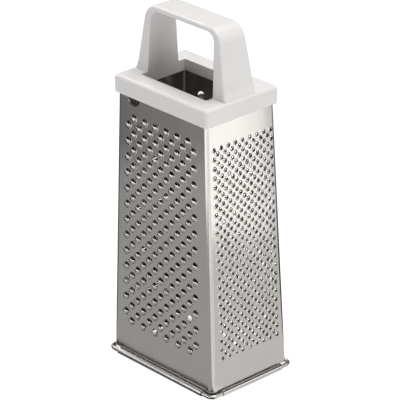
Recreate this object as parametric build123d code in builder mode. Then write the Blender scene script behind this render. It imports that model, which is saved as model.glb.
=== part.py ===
"""Four-sided kitchen box grater.

A tapered body of folded steel sheet stands on a wired rim and carries a white
moulded cap with an arched handle.  X runs along the wide faces, Y across them,
Z is up.  The origin is on the ground under the middle of the body.
Lengths are in millimetres.
"""
import os
from math import copysign, cos, radians, sin, tan

from build123d import *

os.makedirs("parts", exist_ok=True)

# Steel body
sheet = 0.45            # sheet thickness
foot_length = 88.6      # outside of the body at the rim
foot_width = 61.5
body_height = 169.0     # from the rim wire's centre up to the cap's lower edge
bend_radius = 2.0       # outside radius of the four folds

# Rim: the sheet's lower edges are curled outward round a closed wire
wire_diameter = 2.4
wire_fit = 0.1          # space between the wire and the curl
wire_corner = 3.7       # radius of the wire's corners at its centre line
wire_sides = 12         # of the outline that stands for the wire's circle
curl_end_angle = 100.0  # where the curl's free edge ends, from straight out, in degrees
foot_flat = 0.15        # how far the curls are pressed flat where they stand
curl_setback = 7.0      # the curls stop this far short of the body's corners
corner_notch = 1.7      # height of the relief cut in the sheet over the bare wire

# Cap
cap_length = 80.0
cap_width = 56.0
cap_height = 10.8
cap_plate = 2.5         # thickness of the cap's top
cap_edge = 2.0          # rounding of the cap's upright corners and its upper edge
skirt_wall = 1.5
skirt_fit = 0.25        # space between the skirt and the steel
seat_fit = 0.05         # space between the steel's upper edge and the cap's top
opening_length = 56.0
opening_width = 34.4
opening_corner = 1.0
lip_depth = 7.1         # the wall round the opening, from the cap's top down
lip_wall = 2.0
rib_wall = 1.4          # ribs between the lip and the steel
rib_fit = 0.3
long_rib_place = 12.0   # ribs on the long sides, from the middle
short_rib_place = 9.0   # ribs on the short sides, from the middle

# Handle, measured from the cap's top
handle_height = 41.0
grip_clearance = 38.2   # under the bar
leg_inset = 2.2         # from the cap's end to the leg's outer face, at the cap's top
leg_outer_lean = 9.0    # degrees from upright
leg_inner_lean = 1.6
outer_shoulder = 10.0
inner_shoulder = 6.0
leg_foot_drop = 2.6     # the leg's outer face runs down into the cap's end this far
leg_foot_rise = 5.0
handle_foot_width = 24.4
handle_top_width = 18.4
outer_edge = 1.2        # rounding of the handle's outer edges

# Snap fixing of the cap: a round hole at the cap's edge, one on each wide face
snap_place = 24.4       # from the middle of the face
snap_hole = 10.2
snap_drop = 0.7         # the hole's centre lies this far under the cap's edge
snap_fit = 0.3
snap_reach = 1.2        # the lug's reach past the sheet's inside

# Coarse teeth on the front wide face
coarse_first = 12.4     # first row under the cap's edge
coarse_row_pitch = 5.09
coarse_foot_margin = 23.5
coarse_columns = 7
coarse_spread_share = 0.722   # of the face's width between the outer columns
coarse_width = 4.6
coarse_shift = -1.1     # the pattern's middle beside the face's middle
coarse_length = 3.4     # of the hood, below the cutting edge
coarse_height = 1.6
coarse_gap = 1.65       # of the hole, above the cutting edge

# Fine teeth on the right narrow face
fine_first = 15.3
fine_row_pitch = 2.865
fine_foot_margin = 21.2
fine_columns = 9
fine_column_pitch = 5.55
fine_shift = 0.5        # as for the coarse teeth
fine_width = 2.6
fine_height = 0.9

# Large teeth on the hidden wide face
large_first = 14.0
large_row_pitch = 11.4
large_foot_margin = 21.0
large_columns = 5
large_spread_share = 0.62
large_width = 7.2
large_length = 5.0
large_height = 3.0
large_gap = 2.6

# Slicing slots on the hidden narrow face
slot_first = 26.0
slot_pitch = 29.0
slot_foot_margin = 20.0
slot_length = 30.0
slot_gap = 3.0
slot_blade = 6.0        # of the raised blade, below the slot
slot_height = 1.8

# Lap seam of the sheet, on the hidden narrow face
seam_lap = 6.0
seam_stop = 1.5         # the lap ends this far from the cap and from the rim

# Outlines on the sheet's outside, listed counter-clockwise: a tooth's hood and the hollow
# under it in half widths and lengths, the hole above its edge in gaps, a burr in half widths
hood_shares = ((-1, 0), (0, -1), (1, 0))
hollow_shares = ((-1, 0), (0, -0.8), (1, 0))
gap_shares = ((0, 1),)
burr_shares = ((1, 0), (-0.5, 0.87), (-0.5, -0.87))

overrun = 1.0           # by which every cutting tool passes the surface it cuts

# Heights
curl_radius = wire_diameter / 2 + wire_fit
rim_z = curl_radius + sheet - foot_flat
cap_z = rim_z + body_height
cap_top = cap_z + cap_height
steel_top = cap_top - cap_plate - seat_fit

# The body's size at the cap's edge follows from the cap's skirt
neck_length = cap_length - 2 * (skirt_wall + skirt_fit)
neck_width = cap_width - 2 * (skirt_wall + skirt_fit)
lean_x = (foot_length - neck_length) / 2 / body_height
lean_y = (foot_width - neck_width) / 2 / body_height
top_length = neck_length - 2 * lean_x * (steel_top - cap_z)
top_width = neck_width - 2 * lean_y * (steel_top - cap_z)

# Each face's own plane: origin at the cap's edge, x to the right, y up the face
front_plane = Plane((0, -neck_width / 2, cap_z), x_dir=(1, 0, 0), z_dir=(0, -1, lean_y))
right_plane = Plane((neck_length / 2, 0, cap_z), x_dir=(0, 1, 0), z_dir=(1, 0, lean_x))
back_plane = Plane((0, neck_width / 2, cap_z), x_dir=(-1, 0, 0), z_dir=(0, 1, lean_y))
left_plane = Plane((-neck_length / 2, 0, cap_z), x_dir=(0, -1, 0), z_dir=(-1, 0, lean_x))


def bend_plane(face, neighbour):
    """Plane that bisects the fold between two faces, with its normal toward the first."""
    side = face.z_dir + neighbour.z_dir
    corner = (copysign(foot_length / 2, side.X), copysign(foot_width / 2, side.Y), rim_z)
    return Plane(corner, z_dir=face.z_dir - neighbour.z_dir)


def row_count(first, pitch, foot_margin):
    """Rows that fit between the first one and the plain band at the foot."""
    return int((body_height - first - foot_margin) / pitch) + 1


def fan_places(first, pitch, rows, columns, short_row, spread_share, shift=0):
    """Staggered rows that fan out with the face; every other row has one tooth less."""
    places = []
    for row in range(rows):
        down = first + row * pitch
        step = spread_share * (neck_length + 2 * lean_x * down) / (columns - 1)
        count = columns - 1 if row % 2 == short_row else columns
        places += [(shift + (k - (count - 1) / 2) * step, -down) for k in range(count)]
    return places


def pyramid(outline, depth, height):
    """Solid that narrows to a point over the origin, through an outline on the sheet's outside."""
    widest = max(abs(length) for corner in outline for length in corner) * (1 + depth / height)
    with BuildPart() as solid:
        with Locations((0, 0, -depth)):
            Box(2 * widest, 2 * widest, depth + height,
                align=(Align.CENTER, Align.CENTER, Align.MIN))
        for start, end in zip(outline, outline[1:] + outline[:1]):
            corner = Vector(*start)
            side = (Vector(*end) - corner).cross(Vector(0, 0, height) - corner)
            split(bisect_by=Plane(corner, z_dir=side), keep=Keep.BOTTOM)
    return solid.part


def hood(width, length, height):
    """Raised hood of a tooth: open upward, its cutting edge over the origin."""
    outline = [(u * width / 2, v * length) for u, v in hood_shares]
    return pyramid(outline, sheet / 2, height)


def hood_hole(width, length, height, gap):
    """The hole above the cutting edge and the hollow under the hood."""
    outline = [(u * width / 2, v * length) for u, v in hollow_shares]
    outline += [(u * width / 2, v * gap) for u, v in gap_shares]
    return pyramid(outline, sheet + overrun, height - sheet)


def curl(length, plane):
    """Curled lower edge of one face, along the plane's normal, with its feet pressed flat."""
    outer = curl_radius + sheet
    with BuildPart() as rolled:
        with BuildSketch(plane):
            Circle(outer)
            Circle(curl_radius, mode=Mode.SUBTRACT)
            with BuildLine():
                reach = outer + overrun
                Polyline(
                    (0, 0),
                    (reach * cos(radians(curl_end_angle)), reach * sin(radians(curl_end_angle))),
                    (-reach, reach),
                    (-reach, 0),
                    close=True,
                )
            make_face(mode=Mode.SUBTRACT)
        extrude(amount=length / 2, both=True)
        with Locations((0, 0, 0)):
            Box(foot_length * 2, foot_length * 2, outer * 2, mode=Mode.SUBTRACT,
                align=(Align.CENTER, Align.CENTER, Align.MAX))
    return rolled.part


# The folded sheet, before it is punched
with BuildPart() as folded:
    with Locations((0, 0, rim_z)):
        Box(foot_length, foot_width, steel_top - rim_z,
            align=(Align.CENTER, Align.CENTER, Align.MIN))
    for face_plane in (front_plane, right_plane, back_plane, left_plane):
        split(bisect_by=face_plane, keep=Keep.BOTTOM)
    ends = folded.faces().filter_by(Axis.Z)
    fillet(folded.edges() - ends.edges(), radius=bend_radius)
    offset(amount=-sheet, openings=folded.faces().filter_by(Axis.Z))
    # relief cuts over the bare wire at the corners
    with BuildSketch(Plane.XY.offset(rim_z)):
        with GridLocations(foot_length, foot_width, 2, 2):
            Rectangle(2 * curl_setback, 2 * curl_setback)
    extrude(amount=corner_notch, mode=Mode.SUBTRACT)

# Front wide face with the coarse teeth
coarse_rows = row_count(coarse_first, coarse_row_pitch, coarse_foot_margin)
coarse_places = fan_places(coarse_first, coarse_row_pitch, coarse_rows, coarse_columns,
                           0, coarse_spread_share, coarse_shift)
front_curl = curl(foot_length - 2 * curl_setback,
                  Plane((0, -foot_width / 2 - curl_radius, rim_z), x_dir=(0, -1, 0), z_dir=(1, 0, 0)))
coarse_hood = hood(coarse_width, coarse_length, coarse_height)
coarse_hole = hood_hole(coarse_width, coarse_length, coarse_height, coarse_gap)
with BuildPart() as coarse_face:
    add(folded.part)
    split(bisect_by=bend_plane(front_plane, left_plane))
    split(bisect_by=bend_plane(front_plane, right_plane))
    add(front_curl)
    with Locations(front_plane):
        with Locations(*coarse_places):
            add(coarse_hood)
            add(coarse_hole, mode=Mode.SUBTRACT)
    with BuildSketch(front_plane):
        with Locations((-snap_place, -snap_drop)):
            Circle(snap_hole / 2)
    extrude(amount=-sheet - overrun, mode=Mode.SUBTRACT)
coarse_face.part.label = "coarse_face"
export_step(coarse_face.part, "parts/coarse_face.step")

# Right narrow face with the fine teeth: small pointed burrs in a close stagger
fine_rows = row_count(fine_first, fine_row_pitch, fine_foot_margin)
fine_places = []
for row in range(fine_rows):
    count = fine_columns - row % 2
    across = fine_shift - (count - 1) / 2 * fine_column_pitch
    fine_places += [(across + k * fine_column_pitch, -fine_first - row * fine_row_pitch)
                    for k in range(count)]
burr = pyramid([(u * fine_width / 2, v * fine_width / 2) for u, v in burr_shares],
               sheet / 2, fine_height)
right_curl = curl(foot_width - 2 * curl_setback,
                  Plane((foot_length / 2 + curl_radius, 0, rim_z), x_dir=(1, 0, 0), z_dir=(0, -1, 0)))
with BuildPart() as fine_face:
    add(folded.part)
    split(bisect_by=bend_plane(right_plane, front_plane))
    split(bisect_by=bend_plane(right_plane, back_plane))
    add(right_curl)
    with Locations(right_plane):
        with Locations(*fine_places):
            add(burr)
fine_face.part.label = "fine_face"
export_step(fine_face.part, "parts/fine_face.step")

# Hidden wide face with the large teeth
large_rows = row_count(large_first, large_row_pitch, large_foot_margin)
large_places = fan_places(large_first, large_row_pitch, large_rows, large_columns,
                          1, large_spread_share)
back_curl = curl(foot_length - 2 * curl_setback,
                 Plane((0, foot_width / 2 + curl_radius, rim_z), x_dir=(0, 1, 0), z_dir=(-1, 0, 0)))
large_hood = hood(large_width, large_length, large_height)
large_hole = hood_hole(large_width, large_length, large_height, large_gap)
with BuildPart() as large_face:
    add(folded.part)
    split(bisect_by=bend_plane(back_plane, left_plane))
    split(bisect_by=bend_plane(back_plane, right_plane))
    add(back_curl)
    with Locations(back_plane):
        with Locations(*large_places):
            add(large_hood)
            add(large_hole, mode=Mode.SUBTRACT)
    with BuildSketch(back_plane):
        with Locations((-snap_place, -snap_drop)):
            Circle(snap_hole / 2)
    extrude(amount=-sheet - overrun, mode=Mode.SUBTRACT)
large_face.part.label = "large_face"
export_step(large_face.part, "parts/large_face.step")

# Hidden narrow face with the slicing slots
slot_rows = row_count(slot_first, slot_pitch, slot_foot_margin)
slot_places = [(0, -slot_first - row * slot_pitch) for row in range(slot_rows)]
left_curl = curl(foot_width - 2 * curl_setback,
                 Plane((-foot_length / 2 - curl_radius, 0, rim_z), x_dir=(-1, 0, 0), z_dir=(0, 1, 0)))
with BuildPart() as blade_ramp:
    with BuildSketch(Plane.YZ):
        with BuildLine():
            Polyline((0, -sheet / 2), (0, slot_height), (-slot_blade, -sheet / 2), close=True)
        make_face()
    extrude(amount=slot_length / 2, both=True)
with BuildPart() as blade_hollow:
    with BuildSketch(Plane.YZ):
        with BuildLine():
            Polyline(
                (slot_gap, -sheet - overrun),
                (slot_gap, slot_height - sheet),
                (0, slot_height - sheet),
                (-slot_blade, -sheet),
                (-slot_blade, -sheet - overrun),
                close=True,
            )
        make_face()
    extrude(amount=slot_length / 2 - sheet, both=True)
seam_ends = (seam_stop, body_height - seam_stop - curl_radius)
seam_edges = [(neck_width / 2 + lean_y * down, -down) for down in seam_ends]
with BuildPart() as slicing_face:
    add(folded.part)
    split(bisect_by=bend_plane(left_plane, front_plane))
    split(bisect_by=bend_plane(left_plane, back_plane))
    add(left_curl)
    with Locations(left_plane):
        with Locations(*slot_places):
            add(blade_ramp.part)
            add(blade_hollow.part, mode=Mode.SUBTRACT)
    # the sheet's free end laps over the far fold's side
    with BuildSketch(left_plane):
        with BuildLine():
            (top_edge, top_v), (low_edge, low_v) = seam_edges
            Polyline(
                (bend_radius - top_edge, top_v),
                (bend_radius - low_edge, low_v),
                (bend_radius + seam_lap - low_edge, low_v),
                (bend_radius + seam_lap - top_edge, top_v),
                close=True,
            )
        make_face()
    extrude(amount=sheet)
slicing_face.part.label = "slicing_face"
export_step(slicing_face.part, "parts/slicing_face.step")

# Closed wire inside the curls, bare at the four corners
wire_x = foot_length / 2 + curl_radius
wire_y = foot_width / 2 + curl_radius
with BuildPart() as rim_wire:
    with BuildLine(Plane.XY.offset(rim_z)) as loop:
        FilletPolyline((-wire_x, -wire_y), (wire_x, -wire_y), (wire_x, wire_y), (-wire_x, wire_y),
                       radius=wire_corner, close=True)
    with BuildSketch(Plane(loop.line @ 0, z_dir=loop.line % 0)):
        RegularPolygon(wire_diameter / 2, wire_sides)
    sweep()
rim_wire.part.label = "rim_wire"
export_step(rim_wire.part, "parts/rim_wire.step")

# Arched handle, one moulding with the cap
outer_slope = tan(radians(leg_outer_lean))
inner_slope = tan(radians(leg_inner_lean))
leg_outer = cap_length / 2 - leg_inset
bar_middle = cap_top + (handle_height + grip_clearance) / 2


def outer_edges(handle):
    """Edges of the handle's two broad sides, without those round the finger gap."""
    sides = handle.faces().filter_by(lambda face: abs(face.normal_at().Y) > cos(radians(leg_outer_lean)))
    edges = ShapeList([edge for side in sides for edge in side.edges()])
    edges -= edges.group_by(Axis.Z)[0]
    return edges.filter_by(
        lambda edge: abs((edge @ 0.5).X) > opening_length / 2 or (edge @ 0.5).Z > bar_middle)


with BuildPart() as arch:
    with BuildSketch(Plane.XZ):
        with BuildLine():
            knee = (leg_outer - outer_slope * leg_foot_rise, cap_top + leg_foot_rise)
            foot = (cap_length / 2, cap_top - leg_foot_drop)
            FilletPolyline(
                (0, cap_top + handle_height),
                (leg_outer - outer_slope * handle_height, cap_top + handle_height),
                knee,
                radius=outer_shoulder,
            )
            Polyline(knee, foot, (opening_length / 2, cap_top - leg_foot_drop),
                     (opening_length / 2, cap_top))
            FilletPolyline(
                (opening_length / 2, cap_top),
                (opening_length / 2 - inner_slope * grip_clearance, cap_top + grip_clearance),
                (0, cap_top + grip_clearance),
                radius=inner_shoulder,
            )
            mirror(about=Plane.YZ)
        make_face()
    extrude(amount=handle_foot_width / 2, both=True)
    # the legs and the bar narrow toward the top
    with BuildSketch(Plane.YZ):
        with BuildLine():
            Polyline(
                (0, cap_top - leg_foot_drop),
                (handle_foot_width / 2, cap_top - leg_foot_drop),
                (handle_top_width / 2, cap_top + handle_height),
                (0, cap_top + handle_height),
            )
            mirror(about=Plane.YZ)
        make_face()
    extrude(amount=cap_length / 2, both=True, mode=Mode.INTERSECT)
    fillet(outer_edges(arch.part), radius=outer_edge)

# Cap: a skirt over the steel, a lip round the opening and the handle
with BuildPart() as cap:
    with BuildSketch(Plane.XY.offset(cap_z)):
        RectangleRounded(cap_length, cap_width, cap_edge)
    extrude(amount=cap_height)
    fillet(cap.faces().sort_by(Axis.Z)[-1].edges(), radius=cap_edge)
    add(arch.part)
    with BuildSketch(Plane.XY.offset(cap_z)):
        RectangleRounded(neck_length + 2 * skirt_fit, neck_width + 2 * skirt_fit,
                         bend_radius + skirt_fit)
    extrude(amount=cap_height - cap_plate, mode=Mode.SUBTRACT)
    with BuildSketch(Plane.XY.offset(cap_top - cap_plate)):
        RectangleRounded(opening_length + 2 * lip_wall, opening_width + 2 * lip_wall,
                         opening_corner + lip_wall)
    extrude(amount=cap_plate - lip_depth)
    # ribs that stand against the inside of the steel
    rib_x = top_length / 2 - sheet - rib_fit
    rib_y = top_width / 2 - sheet - rib_fit
    with BuildSketch(Plane.XY.offset(cap_top - cap_plate)):
        with Locations((-long_rib_place, 0), (long_rib_place, 0)):
            Rectangle(rib_wall, 2 * rib_y)
        with Locations((0, -short_rib_place), (0, short_rib_place)):
            Rectangle(2 * rib_x, rib_wall)
    extrude(amount=cap_plate - lip_depth)
    with BuildSketch(Plane.XY.offset(cap_top)):
        RectangleRounded(opening_length, opening_width, opening_corner)
    extrude(amount=-cap_height, mode=Mode.SUBTRACT)
    # snap lugs in the holes at the steel's upper edge
    for wide_plane in (front_plane, back_plane):
        with BuildSketch(wide_plane.offset(-sheet - snap_reach)):
            with Locations((-snap_place, -snap_drop)):
                Circle(snap_hole / 2 - snap_fit)
            with Locations((-snap_place, 0)):
                Rectangle(snap_hole, snap_hole, align=(Align.CENTER, Align.MIN),
                          mode=Mode.INTERSECT)
        extrude(amount=snap_reach + sheet + skirt_fit + skirt_wall / 2)
cap.part.label = "cap"
export_step(cap.part, "parts/cap.step")
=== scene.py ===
"""Looks of the four-sided box grater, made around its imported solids.

X runs along the wide faces, Y across them, Z is up, and the origin is on the
ground under the middle of the body.  Lengths are in metres.
"""

from math import copysign, cos, pi, radians, sin

import bmesh
import bpy
import numpy as np
from mathutils import Matrix, Vector
from mathutils.geometry import delaunay_2d_cdt


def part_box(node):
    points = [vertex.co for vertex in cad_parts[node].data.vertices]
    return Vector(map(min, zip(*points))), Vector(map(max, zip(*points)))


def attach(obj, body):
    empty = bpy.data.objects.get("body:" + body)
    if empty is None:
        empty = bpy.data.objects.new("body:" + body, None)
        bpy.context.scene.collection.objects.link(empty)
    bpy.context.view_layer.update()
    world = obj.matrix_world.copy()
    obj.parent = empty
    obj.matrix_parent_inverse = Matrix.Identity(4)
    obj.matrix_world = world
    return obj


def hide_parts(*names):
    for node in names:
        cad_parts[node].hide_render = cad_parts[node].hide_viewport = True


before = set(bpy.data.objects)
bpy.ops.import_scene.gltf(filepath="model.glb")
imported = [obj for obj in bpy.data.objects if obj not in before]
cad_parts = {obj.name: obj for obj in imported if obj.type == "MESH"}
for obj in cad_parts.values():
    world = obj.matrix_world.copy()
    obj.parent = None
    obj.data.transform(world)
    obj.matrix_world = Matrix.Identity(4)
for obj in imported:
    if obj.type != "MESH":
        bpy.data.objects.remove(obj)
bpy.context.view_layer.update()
cap_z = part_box("cap")[0].z
wire_low, wire_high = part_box("rim_wire")
scene = bpy.context.scene

# Sheet body, as in the solids
sheet = 0.00045
foot_length = 0.0886
foot_width = 0.0615
neck_length = 0.0765
neck_width = 0.0525
bend_top = 0.0022
bend_foot = 0.0036
cap_height = 0.0108
cap_plate = 0.0025
curl_setback = 0.007
corner_notch = 0.0017
curl_end_angle = 100.0
wire_fit = 0.0001
wire_corner = 0.0037
wire_corner_steps = 12

wire_radius = (wire_high.z - wire_low.z) / 2
rim_z = (wire_high.z + wire_low.z) / 2    # height of the wire's middle line
curl_radius = wire_radius + wire_fit
steel_top = cap_z + cap_height - cap_plate
taper_height = cap_z - rim_z

# Coarse teeth on the front wide face
coarse_first = 0.0124
coarse_row_pitch = 0.00509
coarse_foot_margin = 0.0235
coarse_columns = 7
coarse_spread_share = 0.722
coarse_shift = -0.0011
coarse_width = 0.0043
coarse_length = 0.0034
coarse_height = 0.0016
coarse_gap = 0.00165
coarse_cut = 0.0009       # the ends of the cut lie this far under its middle line
coarse_lip = 0.00025      # the lip's middle over that line
coarse_curl = 0.0008
coarse_bulge = 0.22       # the hood is wider than the cut by this share

# Fine burrs on the right narrow face
fine_first = 0.0153
fine_row_pitch = 0.002865
fine_foot_margin = 0.0212
fine_columns = 9
fine_column_pitch = 0.00555
fine_shift = 0.0005
fine_width = 0.0034
fine_height = 0.001

# Large teeth on the hidden wide face
large_first = 0.014
large_row_pitch = 0.0114
large_foot_margin = 0.021
large_columns = 5
large_spread_share = 0.62
large_width = 0.0072
large_length = 0.005
large_height = 0.0026
large_gap = 0.0026
large_cut = 0.0013
large_lip = 0.0001
large_curl = 0.0012
large_bulge = 0.15

# Slicing slots on the hidden narrow face
slot_first = 0.026
slot_pitch = 0.029
slot_foot_margin = 0.020
slot_length = 0.030
slot_gap = 0.003
slot_blade = 0.006
slot_height = 0.0018
slot_lip = 0.0012
slot_curl = 0.0012
slot_square = 0.3         # below 1 the outline is squarer than an ellipse
slot_turn = 40.0          # degrees that the lip curls over

# Punched teeth of every size
ring_share = 0.12         # of the mean of the tooth's width and ring_width, to the ring round it
ring_width = 0.0046
ramp_rows = 5
curl_rows = 5
ramp_power = 3.0          # the higher, the steeper the hood's foot
crown_power = 0.9         # how the hood's height falls off to its sides
lip_power = 0.6           # how the lip's arch falls off to its ends
curl_dip = 0.8            # how far the curl comes down, as a share of its reach
lip_taper = 0.04          # how much narrower the opening is at its edge
lip_thinning = 0.25
hole_taper = (0.03, 0.04) # the same for the plain edge above, across and along
hole_dip = 0.06           # how far that edge is pressed in, as a share of the hood's height

# Torn edges of the burrs, each burr a little different
petals = 4
petal_reach = 0.10        # how much wider the opening is at a petal's middle
petal_notch = 0.35        # how much lower the edge is between petals
tear_depth = 0.2          # how far the edge is torn up or down at random
tear_reach = 0.3          # how much of that also goes outward
burr_heights = (0.8, 1.15)
burr_widths = (0.92, 1.06)
burr_lean = 0.1           # how far the tip may stand aside, as a share of the width

# Snap holes of the cap
snap_place = 0.0244
snap_hole = 0.0102
snap_drop = 0.0007

# Meshing of the sheet
inside_only = 1           # the triangulation's mode that keeps what lies inside the outline
same_point = 1e-8
weld_distance = 2e-6      # joins the panels, folds and curls along their common edges

# Lap seam on the hidden narrow face
seam_lap = 0.006
seam_stop = 0.0015
seam_gap = 0.00001        # keeps the strip's inside off the sheet
seam_edge = 0.00012

# Camera of the photograph
camera_place = (1.05923, -0.94862, 0.76486)
camera_azimuth = 48.09
camera_elevation = 24.91
camera_roll = -0.92
camera_lens = 239.32      # millimetres, as is the sensor
camera_sensor = 36.0
camera_reach = 20.0

# Where most values of a noise texture lie
noise_low = 0.3
noise_high = 0.7

# Studio
floor_size = 8.0
floor_glow = 0.92
floor_albedo = 0.2
cloud_contrast = 0.02
shade_inset = 0.002       # of the dark patch on the floor from the foot's edge
shade_z = 0.00005
right_board_out = 0.19    # the place of right_board, beside the way that the right face mirrors
right_board_aside = -0.074
right_board_z = 0.085
world_glow = 0.05

rng = np.random.default_rng(7)


class Side:
    """One face of the tapered body: u to the right, z the height, w outward from the sheet."""

    def __init__(self, right, out, neck, foot, neck_depth, foot_depth):
        self.right = Vector(right)
        self.out = Vector(out)
        self.neck, self.lean = neck / 2, (foot - neck) / 2 / taper_height
        self.depth, self.slope = neck_depth / 2, (foot_depth - neck_depth) / 2 / taper_height
        self.normal = (self.out + Vector((0, 0, self.slope))).normalized()

    def half(self, z):
        """Half of the face's width at a height, up to the fold's sharp corner."""
        return self.neck + self.lean * (cap_z - z)

    def point(self, u, z, w=0.0):
        """The place of (u, z, w) in the shared frame."""
        depth = self.depth + self.slope * (cap_z - z)
        return self.right * u + self.out * depth + Vector((0, 0, z)) + self.normal * w


front = Side((1, 0, 0), (0, -1, 0), neck_length, foot_length, neck_width, foot_width)
right = Side((0, 1, 0), (1, 0, 0), neck_width, foot_width, neck_length, foot_length)
back = Side((-1, 0, 0), (0, 1, 0), neck_length, foot_length, neck_width, foot_width)
left = Side((0, -1, 0), (-1, 0, 0), neck_width, foot_width, neck_length, foot_length)


def bend_radius(z):
    """Outside radius of the folds, which widen toward the foot."""
    return bend_top + (bend_foot - bend_top) * (cap_z - z) / taper_height


def row_count(first, pitch, foot_margin):
    """How many rows fit between the first one and the margin over the foot."""
    return int((taper_height - first - foot_margin) / pitch) + 1


def fan_places(first, pitch, foot_margin, columns, short_row, spread_share, shift=0.0):
    """Staggered rows that fan out with the face, as (u, z)."""
    places = []
    lean = (foot_length - neck_length) / 2 / taper_height
    for row in range(row_count(first, pitch, foot_margin)):
        down = first + row * pitch
        step = spread_share * (neck_length + 2 * lean * down) / (columns - 1)
        count = columns - 1 if row % 2 == short_row else columns
        places += [(shift + (k - (count - 1) / 2) * step, cap_z - down) for k in range(count)]
    return places


def power(value, exponent):
    """A power that keeps the sign."""
    return copysign(abs(value) ** exponent, value)


def hood_loops(width, length, gap, height, cut, lip, curl, around=32, square=1.0, turn=75.0, bulge=0.0):
    """Loops of a punched tooth, from a ring on the sheet in to the edges of its opening.

    The ends of the cut lie under its middle line.  Below them the sheet rises in a ramp to the
    crest of a hood, which may bulge to both sides, and curls over it to an arched cutting lip;
    above, the hole is plain.  A loop's points are (u, along, w, share of the thickness).
    """
    half = width / 2
    margin = ring_share * width ** 0.5 * ring_width ** 0.5
    above, below = gap + cut, length - cut
    rows = ramp_rows + curl_rows
    spokes = []
    for k in range(around):
        angle = 2 * pi * (k + 0.5) / around
        spokes.append((power(cos(angle), square), power(sin(angle), square)))
    ring = []
    for c, s in spokes:
        reach = above if s > 0 else below
        wide = (half + margin) * c * (1 + bulge * max(-s, 0))
        ring.append((wide, (reach + margin) * s - cut, 0.0, 1.0))
    loops = [ring]
    for step in range(rows + 1):
        t = step / rows
        ramp = min(step / ramp_rows, 1.0)
        roll = radians(turn) * max(step - ramp_rows, 0) / curl_rows
        over = curl * sin(roll)
        crest = height * (1 - (1 - ramp) ** ramp_power) - curl_dip * curl * (1 - cos(roll))
        loop = []
        for c, s in spokes:
            if s > 0:
                loop.append((half * c * (1 - hole_taper[0] * t), above * s * (1 - hole_taper[1] * t) - cut,
                             -hole_dip * height * t * t, 1.0))
                continue
            size = abs(s)
            rise = below * size + (cut + lip) * size ** lip_power - curl * size * sin(radians(turn))
            y = -cut - below * size + rise * ramp + over * size
            wide = half * c * (1 + bulge * size) * (1 - lip_taper * t)
            loop.append((wide, y, size ** crown_power * crest, 1.0 - lip_thinning * t))
        loops.append(loop)
    return loops


def burr_loops(width, height, around=18):
    """Loops of a small burr torn open from behind, each one a little different."""
    turn = rng.uniform(0, pi / 2)
    tall = height * rng.uniform(*burr_heights)
    lean_u, lean_v = rng.uniform(-burr_lean, burr_lean, 2) * width
    tears = rng.uniform(-tear_depth, tear_depth, around)
    wide = rng.uniform(*burr_widths)
    rings = (
        # share of the half width, share of the height, how torn, share of the thickness
        (1.04, 0.0, 0.0, 1.0),
        (0.96, 0.02, 0.0, 1.0),
        (0.84, 0.12, 0.0, 0.9),
        (0.72, 0.32, 0.1, 0.7),
        (0.60, 0.62, 0.4, 0.5),
        (0.51, 1.0, 1.0, 0.22),
    )
    loops = []
    for reach, rise, torn, thick in rings:
        loop = []
        for k in range(around):
            angle = 2 * pi * k / around
            petal = 0.5 + 0.5 * cos(petals * (angle - turn))
            radius = wide * width / 2 * reach * (1 + torn * (petal_reach * petal + tear_reach * tears[k]))
            w = tall * rise * (1 - torn * petal_notch * (1 - petal) + torn * tears[k])
            u = radius * cos(angle) + lean_u * rise
            v = radius * sin(angle) + lean_v * rise
            loop.append((u, v, w, thick))
        loops.append(loop)
    return loops


def hole_loops(radius, around=48):
    """The one loop of a plain round hole."""
    angles = [2 * pi * k / around for k in range(around)]
    return [[(radius * cos(angle), radius * sin(angle), 0.0, 1.0) for angle in angles]]


def finished(name, bm):
    """The mesh of a bmesh, which isn't used after that."""
    mesh = bpy.data.meshes.new(name)
    bm.to_mesh(mesh)
    bm.free()
    return mesh


def placed(name, data):
    """A new object of a mesh, a light or a camera, in the scene."""
    obj = bpy.data.objects.new(name, data)
    scene.collection.objects.link(obj)
    return obj


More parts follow.
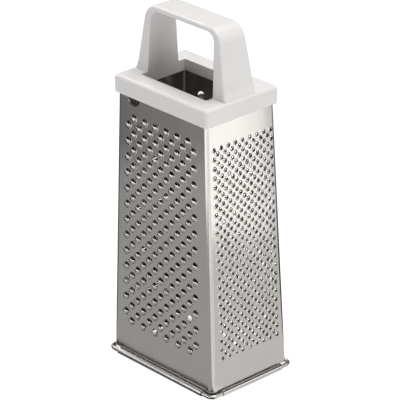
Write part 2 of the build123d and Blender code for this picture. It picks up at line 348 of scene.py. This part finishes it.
class Skin:
    """Outer surface of the sheet as points, faces and the sheet's thickness at each point."""

    def __init__(self):
        self.points, self.faces, self.thick, self.normals = [], [], [], []

    def add(self, point, thick=1.0, normal=(0, 0, 0)):
        """A new point's index; its normal is only given where the sheet is plain."""
        self.points.append(point)
        self.thick.append(thick)
        self.normals.append(normal)
        return len(self.points) - 1

    def band(self, lower, upper, closed=False):
        """Quads between two equal rows of points."""
        pairs = list(zip(lower, upper))
        if closed:
            pairs.append(pairs[0])
        for (a, d), (b, c) in zip(pairs, pairs[1:]):
            self.faces.append((a, b, c, d))

    def panel(self, side, teeth):
        """The flat stretch of one face, with its teeth, down to the curl and the corner notches."""
        low, shoulder, high = rim_z, rim_z + corner_notch, steel_top
        end = side.half(rim_z) - curl_setback
        wide, narrow = (side.half(z) - bend_radius(z) for z in (shoulder, high))
        outline = [(-wide, shoulder), (-end, shoulder), (-end, low), (end, low), (end, shoulder),
                   (wide, shoulder), (narrow, high), (-narrow, high)]
        flat = [Vector(p) for p in outline]
        edges = [(k, (k + 1) % len(outline)) for k in range(len(outline))]
        rings = []
        for (u, z), loops in teeth:
            start = len(flat)
            ring = loops[0]
            flat += [Vector((u + x, z + y)) for x, y, w, thick in ring]
            edges += [(start + k, start + (k + 1) % len(ring)) for k in range(len(ring))]
            rings.append((start, (u, z), loops))
        found, _, triangles, source, _, _ = delaunay_2d_cdt(flat, edges, [], inside_only, same_point)
        index = [self.add(side.point(p.x, p.y), 1.0, side.normal) for p in found]
        origin = {old: new for new, olds in enumerate(source) for old in olds}
        ring_of = {}
        for number, (start, _, loops) in enumerate(rings):
            for k in range(len(loops[0])):
                ring_of[origin[start + k]] = number
        for tri in triangles:
            owners = {ring_of.get(v) for v in tri}
            if len(owners) > 1 or None in owners:
                self.faces.append(tuple(index[v] for v in tri))
        for start, (u, z), loops in rings:
            row = [index[origin[start + k]] for k in range(len(loops[0]))]
            for loop in loops[1:]:
                inner = [self.add(side.point(u + x, z + y, w), thick) for x, y, w, thick in loop]
                self.band(row, inner, closed=True)
                row = inner

    def fold(self, one, other, steps=8):
        """The rounded fold from one face's right edge to the next face's left edge."""
        rows = []
        for z in (rim_z + corner_notch, steel_top):
            radius = bend_radius(z)
            centre = (one.right * (one.half(z) - radius)
                      + other.right * -(other.half(z) - radius) + Vector((0, 0, z)))
            row = []
            for k in range(steps + 1):
                angle = pi / 2 * k / steps
                spoke = one.out * cos(angle) + other.out * sin(angle)
                normal = (one.normal * cos(angle) + other.normal * sin(angle)).normalized()
                row.append(self.add(centre + spoke * radius, 1.0, normal))
            rows.append(row)
        self.band(rows[0], rows[1])

    def curl(self, side, steps=30):
        """The lower edge rolled outward round the wire."""
        end = side.half(rim_z) - curl_setback
        centre = side.point(0, rim_z) + side.out * curl_radius
        row = None
        for k in range(steps + 1):
            angle = pi + (pi + radians(curl_end_angle)) * k / steps
            spoke = side.out * cos(angle) + Vector((0, 0, sin(angle)))
            points = [self.add(centre + side.right * u + spoke * curl_radius) for u in (-end, end)]
            if row:
                self.band(points, row)
            row = points

    def solid(self, name):
        """A mesh object of the sheet with its thickness, sharp only along its cut edges."""
        bm = bmesh.new()
        depth = bm.verts.layers.float.new("depth")
        plain = bm.verts.layers.float_vector.new("plain")
        verts = [bm.verts.new(p) for p in self.points]
        for v, thick, normal in zip(verts, self.thick, self.normals):
            v[depth] = thick * sheet
            v[plain] = normal
        for face in self.faces:
            bm.faces.new([verts[k] for k in face])
        bmesh.ops.remove_doubles(bm, verts=bm.verts, dist=weld_distance)
        bmesh.ops.recalc_face_normals(bm, faces=bm.faces)
        bm.normal_update()
        given = {v for v in bm.verts if v[plain].length > 0.5}
        shading = {v: v[plain].copy() if v in given else v.normal.copy() for v in bm.verts}
        twin = {}
        for v in list(bm.verts):
            place = v.co - v.normal * v[depth]
            place.z = max(place.z, 0.0)     # the curls' undersides stay on the ground
            twin[v] = bm.verts.new(place)
        rims = []
        for e in bm.edges:
            if len(e.link_faces) == 1:
                loop = e.link_loops[0]
                a, b = loop.vert, loop.link_loop_next.vert
                rims.append((b, a, twin[a], twin[b]))
        outer = list(bm.faces)
        normals = [shading[v] for face in outer for v in face.verts]
        # The inside faces take the second material, a dark steel that paints the shade inside the body.
        for face in outer:
            bm.faces.new([twin[v] for v in reversed(face.verts)]).material_index = 1
            normals += [-shading[v] for v in reversed(face.verts)]
        for rim in rims:
            face = bm.faces.new(rim)
            face.normal_update()
            normals += [face.normal.copy()] * 4
        for face in bm.faces:
            face.smooth = True
        mesh = finished(name, bm)
        mesh.normals_split_custom_set(normals)
        return placed(name, mesh)


def steel_body():
    """The folded, punched and curled sheet."""
    skin = Skin()
    coarse = hood_loops(coarse_width, coarse_length, coarse_gap, coarse_height, coarse_cut, coarse_lip,
                        coarse_curl, bulge=coarse_bulge)
    coarse_teeth = [(place, coarse) for place in fan_places(
        coarse_first, coarse_row_pitch, coarse_foot_margin, coarse_columns, 0, coarse_spread_share,
        coarse_shift)]
    snap = ((-snap_place, cap_z - snap_drop), hole_loops(snap_hole / 2))
    skin.panel(front, coarse_teeth + [snap])
    fine_teeth = []
    for row in range(row_count(fine_first, fine_row_pitch, fine_foot_margin)):
        count = fine_columns - row % 2
        across = fine_shift - (count - 1) / 2 * fine_column_pitch
        fine_teeth += [((across + k * fine_column_pitch, cap_z - fine_first - row * fine_row_pitch),
                        burr_loops(fine_width, fine_height)) for k in range(count)]
    skin.panel(right, fine_teeth)
    large = hood_loops(large_width, large_length, large_gap, large_height, large_cut, large_lip, large_curl,
                       around=40, bulge=large_bulge)
    large_teeth = [(place, large) for place in fan_places(
        large_first, large_row_pitch, large_foot_margin, large_columns, 1, large_spread_share)]
    skin.panel(back, large_teeth + [snap])
    slot = hood_loops(slot_length, slot_blade, slot_gap, slot_height, 0.0, slot_lip, slot_curl, around=64,
                      square=slot_square, turn=slot_turn)
    slots = [((0, cap_z - slot_first - row * slot_pitch), slot)
             for row in range(row_count(slot_first, slot_pitch, slot_foot_margin))]
    skin.panel(left, slots)
    for one, other in ((front, right), (right, back), (back, left), (left, front)):
        skin.fold(one, other)
    for side in (front, right, back, left):
        skin.curl(side)
    return skin.solid("folded_body")


def tube(name, path, radius, around=20):
    """Closed round wire along a list of points in a level plane."""
    bm = bmesh.new()
    rings = []
    count = len(path)
    for k, place in enumerate(path):
        ahead = (path[(k + 1) % count] - path[k - 1]).normalized()
        across = ahead.cross(Vector((0, 0, 1))).normalized()
        angles = [2 * pi * n / around for n in range(around)]
        rings.append([bm.verts.new(place + (across * cos(a) + Vector((0, 0, sin(a)))) * radius)
                      for a in angles])
    for k in range(count):
        one, other = rings[k], rings[(k + 1) % count]
        for n in range(around):
            face = bm.faces.new((one[n], one[(n + 1) % around], other[(n + 1) % around], other[n]))
            face.smooth = True
    bmesh.ops.recalc_face_normals(bm, faces=bm.faces)
    return placed(name, finished(name, bm))


def wire_loop():
    """The rim wire, bare at the four corners."""
    half_x = foot_length / 2 + curl_radius - wire_corner
    half_y = foot_width / 2 + curl_radius - wire_corner
    path = []
    for corner, (sx, sy) in enumerate(((1, 1), (-1, 1), (-1, -1), (1, -1))):
        for k in range(wire_corner_steps + 1):
            angle = pi / 2 * (corner + k / wire_corner_steps)
            path.append(Vector((sx * half_x + wire_corner * cos(angle),
                                sy * half_y + wire_corner * sin(angle), rim_z)))
    return tube("wire_loop", path, wire_radius)


def seam_strip():
    """The sheet's free end, lapped over the fourth fold's side and welded there."""
    top, low = cap_z - seam_stop, rim_z + seam_stop + curl_radius
    bm = bmesh.new()
    corners = []
    for z, lap in ((low, 0.0), (low, seam_lap), (top, seam_lap), (top, 0.0)):
        corners.append((-(left.half(z) - (bend_radius(z) + lap)), z))
    lower = [bm.verts.new(left.point(u, z, seam_gap)) for u, z in corners]
    upper = [bm.verts.new(left.point(u, z, sheet)) for u, z in corners]
    bm.faces.new(reversed(lower))
    bm.faces.new(upper)
    for k in range(4):
        n = (k + 1) % 4
        bm.faces.new((lower[k], lower[n], upper[n], upper[k]))
    bmesh.ops.recalc_face_normals(bm, faces=bm.faces)
    bmesh.ops.bevel(bm, geom=list(bm.edges), offset=seam_edge, segments=2, affect="EDGES")
    for face in bm.faces:
        face.smooth = True
    return placed("lap_seam", finished("lap_seam", bm))


class Nodes:
    """A new material and short ways to add its nodes."""

    def __init__(self, name):
        self.material = bpy.data.materials.new(name)
        self.material.use_nodes = True
        self.tree = self.material.node_tree
        self.shader = next(n for n in self.tree.nodes if n.type == "BSDF_PRINCIPLED")
        self.place = self.add("ShaderNodeTexCoord").outputs["Object"]

    def add(self, kind, **inputs):
        """A new node; its inputs are given by name, with _ for a space."""
        node = self.tree.nodes.new(kind)
        for key, value in inputs.items():
            node.inputs[key.replace("_", " ")].default_value = value
        return node

    def link(self, output, socket):
        """Link an output to a named input of the shader, or to another node's socket."""
        self.tree.links.new(output, self.shader.inputs[socket] if isinstance(socket, str) else socket)

    def noise(self, scale, stretch=(1, 1, 1), detail=3.0, rough=0.5):
        """A noise's value over the object, finer along an axis the more it is stretched."""
        mapping = self.add("ShaderNodeMapping", Scale=stretch)
        noise = self.add("ShaderNodeTexNoise", Scale=scale, Detail=detail, Roughness=rough)
        self.link(self.place, mapping.inputs["Vector"])
        self.link(mapping.outputs["Vector"], noise.inputs["Vector"])
        return noise.outputs["Fac"]

    def spread(self, value, low, high):
        """A noise spread over the numbers from low to high."""
        node = self.add("ShaderNodeMapRange", From_Min=noise_low, From_Max=noise_high,
                        To_Min=low, To_Max=high)
        self.link(value, node.inputs["Value"])
        return node.outputs["Result"]

    def colours(self, value, dark, light):
        """A noise spread over the colours from dark to light."""
        node = self.add("ShaderNodeValToRGB")
        stops = ((noise_low, dark), (noise_high, light))
        for element, (position, colour) in zip(node.color_ramp.elements, stops):
            element.position = position
            element.color = (*colour, 1.0)
        self.link(value, node.inputs["Fac"])
        return node.outputs["Color"]

    def bump(self, height, strength, distance, normal=None):
        """A normal that follows a height, on top of another normal if one is given."""
        node = self.add("ShaderNodeBump", Strength=strength, Distance=distance)
        self.link(height, node.inputs["Height"])
        if normal:
            self.link(normal, node.inputs["Normal"])
        return node.outputs["Normal"]


def steel_material(name, dark, light, rough_low, rough_high):
    """Steel with fine upright brush streaks, faint clouds and slight waves."""
    n = Nodes(name)
    n.shader.inputs["Metallic"].default_value = 1.0
    streaks = n.noise(1.0, stretch=(900, 900, 14), detail=4.0, rough=0.6)
    clouds = n.noise(26.0, stretch=(1, 1, 0.6))
    n.link(n.colours(clouds, dark, light), "Base Color")
    n.link(n.spread(streaks, rough_low, rough_high), "Roughness")
    swell = n.noise(60.0, stretch=(1, 1, 0.7), detail=2.0, rough=0.4)
    waves = n.bump(swell, strength=0.25, distance=0.0004)
    n.link(n.bump(streaks, strength=0.08, distance=0.00002, normal=waves), "Normal")
    return n.material


def plastic_material():
    """Smooth white plastic with softened edges and a very fine grain."""
    n = Nodes("white_moulding")
    clouds = n.noise(40.0, detail=2.0)
    n.link(n.colours(clouds, (0.70, 0.685, 0.675), (0.73, 0.715, 0.705)), "Base Color")
    n.link(n.spread(n.noise(160.0), 0.30, 0.38), "Roughness")
    n.shader.inputs["Subsurface Weight"].default_value = 0.08
    n.shader.inputs["Subsurface Radius"].default_value = (0.002, 0.0018, 0.0016)
    n.shader.inputs["Subsurface Scale"].default_value = 1.0
    soft = n.add("ShaderNodeBevel", Radius=0.0005)
    soft.samples = 8
    grain = n.noise(900.0, detail=2.0)
    n.link(n.bump(grain, strength=0.04, distance=0.00002, normal=soft.outputs["Normal"]), "Normal")
    return n.material


def studio_material(name, albedo, glow):
    """A matt grey that also glows, for the floor and the cards."""
    n = Nodes(name)
    clouds = n.noise(3.0, detail=2.0)
    n.link(n.colours(clouds, [albedo] * 3, [albedo + cloud_contrast] * 3), "Base Color")
    n.shader.inputs["Roughness"].default_value = 0.9
    n.shader.inputs["Specular IOR Level"].default_value = 0.1
    n.shader.inputs["Emission Color"].default_value = (1.0, 1.0, 1.0, 1.0)
    n.shader.inputs["Emission Strength"].default_value = glow
    return n.material


def dress(obj, *materials):
    """Give an object its materials in place of those it has."""
    obj.data.materials.clear()
    for material in materials:
        obj.data.materials.append(material)


steel = steel_material("satin_sheet", (0.541, 0.520, 0.498), (0.571, 0.550, 0.528), 0.15, 0.20)
# The inside of the sheet is the same steel as the outside; this dark colour paints the shade inside the
# body.
painted_shade_inner_steel = steel_material("inner_sheet_painted_shade", (0.03, 0.0295, 0.0285), (0.045, 0.0445, 0.043), 0.22, 0.30)
wire_steel = steel_material("drawn_wire", (0.43, 0.42, 0.41), (0.53, 0.52, 0.51), 0.25, 0.36)
plastic = plastic_material()

body = steel_body()
dress(body, steel, painted_shade_inner_steel)
seam = seam_strip()
dress(seam, steel)
wire = wire_loop()
dress(wire, wire_steel)
for piece, slot in ((body, "steel_sheet"), (seam, "steel_sheet"), (wire, "steel_wire")):
    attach(piece, "root")
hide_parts("coarse_face", "fine_face", "large_face", "slicing_face")
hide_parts("rim_wire")
dress(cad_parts["cap"], plastic)

# Camera
azimuth, elevation, roll = radians(camera_azimuth), radians(camera_elevation), radians(camera_roll)
backward = Vector((sin(azimuth) * cos(elevation), -cos(azimuth) * cos(elevation), sin(elevation)))
sideways = (-backward).cross(Vector((0, 0, 1))).normalized()
upward = sideways.cross(-backward)
axis_x = sideways * cos(roll) + upward * sin(roll)
axis_y = upward * cos(roll) - sideways * sin(roll)
turned = Matrix((axis_x, axis_y, backward)).transposed().to_4x4()
camera = placed("camera", bpy.data.cameras.new("camera"))
camera.data.lens = camera_lens
camera.data.sensor_width = camera_sensor
camera.data.clip_end = camera_reach
camera.matrix_world = Matrix.Translation(camera_place) @ turned
scene.camera = camera


def card(name, size, place, facing, glow, albedo=0.0, turn=0.0):
    """A flat rectangle of the studio, which isn't part of the object."""
    mesh = bpy.data.meshes.new(name)
    h, v = size[0] / 2, size[1] / 2
    mesh.from_pydata([(-h, -v, 0), (h, -v, 0), (h, v, 0), (-h, v, 0)], [], [(0, 1, 2, 3)])
    mesh.materials.append(studio_material(name, albedo, glow))
    obj = placed(name, mesh)
    obj.location = place
    obj.rotation_euler = Vector(facing).to_track_quat("Z", "Y").to_euler()
    obj.rotation_euler.z += radians(turn)
    return obj


def only_mirrored(obj):
    """Leave an object to reflections alone."""
    obj.visible_camera = obj.visible_diffuse = obj.visible_shadow = False


def heading(azimuth):
    """The level directions toward an azimuth and to the left of it."""
    way = Vector((sin(radians(azimuth)), -cos(radians(azimuth)), 0))
    return way, Vector((-way.y, way.x, 0))


def sheen(name, azimuth, along, across, glow, height):
    """A level strip that only reflections see, laid out from the origin toward an azimuth."""
    way, aside = heading(azimuth)
    middle = way * sum(along) / 2 + aside * sum(across) / 2
    middle.z = height
    size = (along[1] - along[0], across[1] - across[0])
    only_mirrored(card(name, size, middle, (0, 0, 1), glow, turn=azimuth - 90))


def board(name, size, place, target, glow):
    """A card that stands over the floor and that only reflections see."""
    only_mirrored(card(name, size, place, Vector(target) - Vector(place), glow))


def softbox(name, place, target, size, radiance):
    """A soft light, seen in reflections but not by the camera."""
    light = bpy.data.lights.new(name, "AREA")
    light.shape = "RECTANGLE"
    light.size, light.size_y = size
    light.energy = radiance * pi * size[0] * size[1]
    obj = placed(name, light)
    obj.location = place
    obj.rotation_euler = (Vector(target) - Vector(place)).to_track_quat("-Z", "Y").to_euler()
    obj.visible_camera = False
    return obj


# The floor, with a dark patch in the body's shade
floor = card("floor", (floor_size, floor_size), (0, 0, 0), (0, 0, 1), floor_glow, floor_albedo)
floor.visible_glossy = False
shade = (foot_length - 2 * shade_inset, foot_width - 2 * shade_inset)
card("shaded_floor", shade, (0, 0, shade_z), (0, 0, 1), 0.0, floor_albedo)

# What the steel mirrors in the floor's place: strips under it, of which the uppermost shows.
# Each has its name, its azimuth, its ends along and across that, its glow and its height.
front_azimuth, corner_azimuth, right_azimuth = -48, 40, 132   # where each part mirrors the camera
sheen("floor_sheen", 0, (-4, 4), (-4, 4), 0.49, -0.0010)
sheen("front_bright", 0, (0.32, 1.8), (-0.5, 0.5), 1.7, -0.0009)
sheen("camera_side", corner_azimuth, (-0.2, 0.23), (0.018, 2), 1.08, -0.0008)
sheen("camera_far", corner_azimuth, (0.23, 3), (0.018, 2), 1.35, -0.0008)
sheen("front_near", front_azimuth, (0.0, 0.36), (-0.03, 0.12), 0.49, -0.0006)
sheen("front_far", front_azimuth, (0.36, 1.2), (-0.8, 0.14), 0.28, -0.0006)
sheen("front_side", front_azimuth, (-0.25, 0.5), (-0.6, -0.022), 0.03, -0.0003)
# The next strip is dark: it paints the shadow on the floor by the front face's foot, where the steel
# mirrors it.
sheen("front_foot_shade", 0, (0.03, 0.0403), (-0.055, 0.055), 0.06, -0.0002)
sheen("right_near", right_azimuth, (0.03, 0.3), (-0.066, 0.003), 0.85, -0.0006)
sheen("right_low", right_azimuth, (0.02, 0.20), (-0.002, 0.2), 0.8, -0.0006)
sheen("right_side", right_azimuth, (0.20, 0.6), (0.004, 0.4), 0.2, -0.0003)

# What it mirrors over the floor: name, size, place, what the card faces, glow
board("front_band", (1.1, 0.36), (-0.08, -0.79, 0.32), (0, 0, 0.1), 3.0)
board("left_sky", (0.9, 0.46), (-0.84, -0.45, 0.62), (0, 0, 0.0), 1.4)
board("right_sky", (0.6, 0.4), (0.59, 0.75, 0.55), (0, 0, 0.0), 1.3)
way, aside = heading(right_azimuth)
mirrored_from = aside * right_board_aside + Vector((0, 0, right_board_z))
board("right_board", (0.125, 0.11), mirrored_from + way * right_board_out, mirrored_from, 1.75)

# Lights: name, place, target, size, radiance
softbox("overhead", (0.1, 0.15, 1.1), (0, 0, 0.1), (0.6, 0.6), 8.5)
front_soft = softbox("front_soft", (-0.25, -0.76, 0.36), (0, 0, 0.1), (0.85, 0.36), 2.0)
front_soft.visible_glossy = False     # front_band takes its place in reflections
softbox("right_band", (0.80, -0.05, 0.30), (0, 0, 0.1), (0.6, 0.26), 4.2)
softbox("back_left", (-0.85, 0.25, 0.85), (0, 0, 0.1), (0.5, 0.5), 4.0)

# A dim even light from all round
world = bpy.data.worlds.new("studio")
scene.world = world
world.use_nodes = True
background = world.node_tree.nodes["Background"]
background.inputs["Color"].default_value = (1.0, 1.0, 1.0, 1.0)
background.inputs["Strength"].default_value = world_glow
scene.view_settings.view_transform = "Standard"
scene.view_settings.look = "None"
